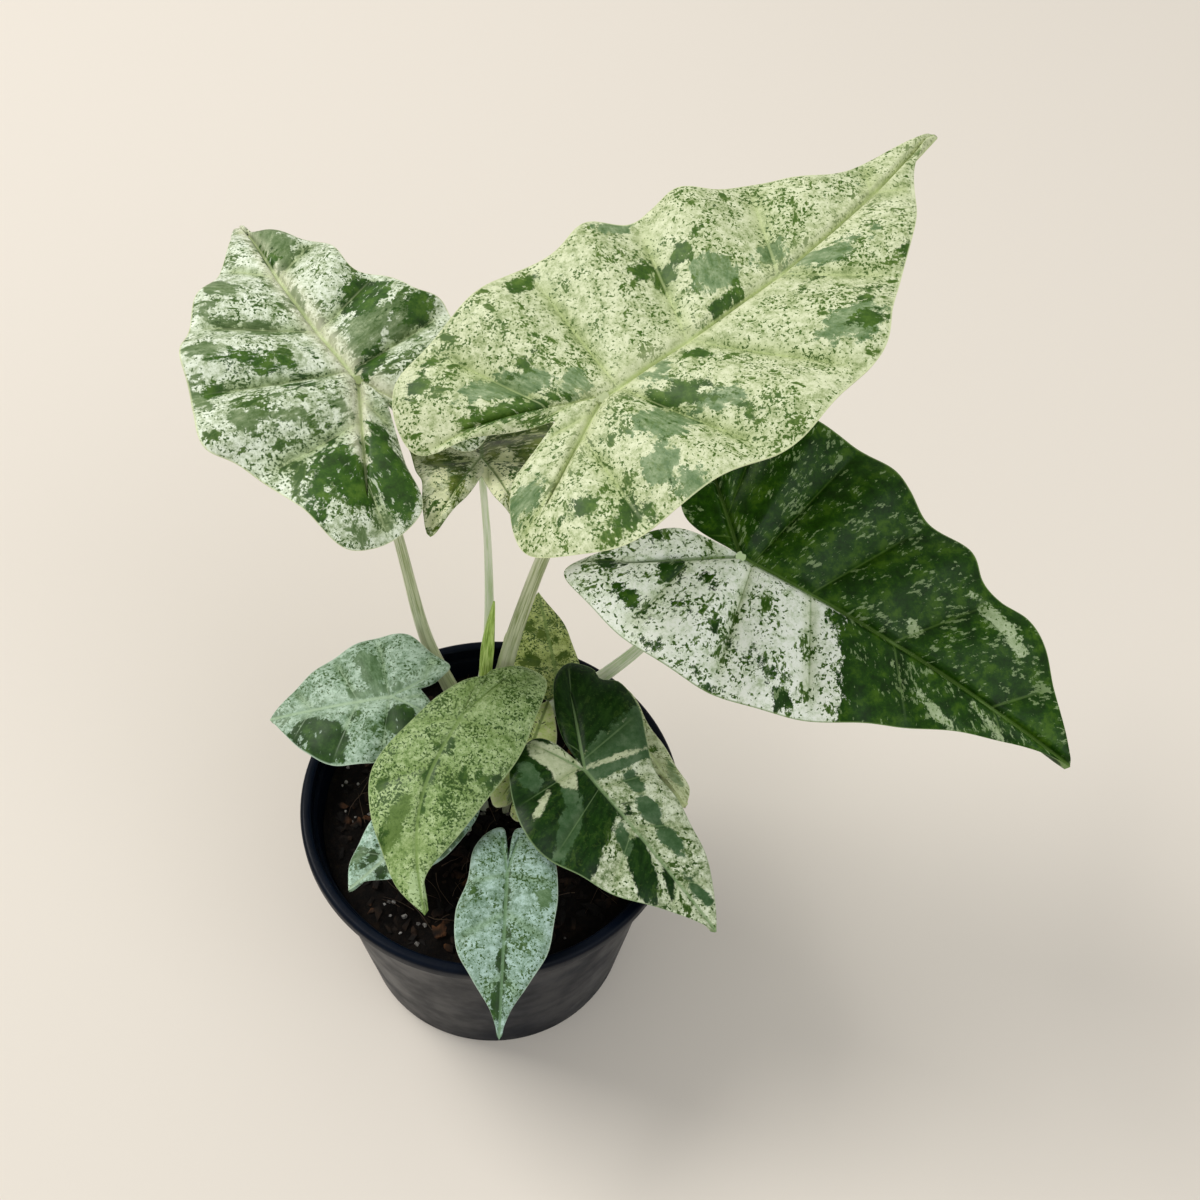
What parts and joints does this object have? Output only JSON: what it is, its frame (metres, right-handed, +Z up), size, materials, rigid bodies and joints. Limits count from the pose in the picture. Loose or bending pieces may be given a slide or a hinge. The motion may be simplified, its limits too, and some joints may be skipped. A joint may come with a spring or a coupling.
{
  "type": "potted alocasia",
  "caption": "Variegated alocasia with large and small arrow-shaped leaves on slender stalks, growing in soil in a round black nursery pot.",
  "frame": {"origin": "centre of the underside of the pot's base", "axes": "+Z up along the pot's axis, -Y towards the front of the plant, +X to its right seen from the front"},
  "size_m": [0.3224, 0.2832, 0.3199],
  "materials": {
    "pot": "black polypropylene with a soft sheen",
    "soil": "moist dark potting mix with bark and perlite",
    "stalk": "smooth pale green leaf stalk with fine lengthwise streaks",
    "spear": "rolled young leaf, lime green",
    "leaf_cream": "cream leaf, speckled and streaked with green, waxy",
    "leaf_dark": "dark green leaf with cream sectors, glossy",
    "leaf_mint": "pale mint leaf with fine green speckles, waxy",
    "leaf_lime": "yellow-green leaf, densely speckled, waxy"
  },
  "bodies": {
    "root": {"pot": "pot", "soil": "soil", "leaf_1_blade": "leaf_cream", "leaf_1_stalk": "stalk", "leaf_2_blade": "leaf_cream", "leaf_2_stalk": "stalk", "leaf_3_blade": "leaf_dark", "leaf_3_stalk": "stalk", "leaf_4_blade": "leaf_dark", "leaf_4_stalk": "stalk", "leaf_5_blade": "leaf_mint", "leaf_5_stalk": "stalk", "leaf_6_blade": "leaf_lime", "leaf_6_stalk": "stalk", "leaf_7_blade": "leaf_mint", "leaf_7_stalk": "stalk", "leaf_8_blade": "leaf_dark", "leaf_8_stalk": "stalk", "leaf_9_blade": "leaf_cream", "leaf_9_stalk": "stalk", "leaf_10_blade": "leaf_mint", "leaf_10_stalk": "stalk", "leaf_11_blade": "leaf_lime", "leaf_11_stalk": "stalk", "leaf_12_blade": "leaf_lime", "leaf_12_stalk": "stalk", "new_leaf_spear": "spear"}
  },
  "joints": []
}
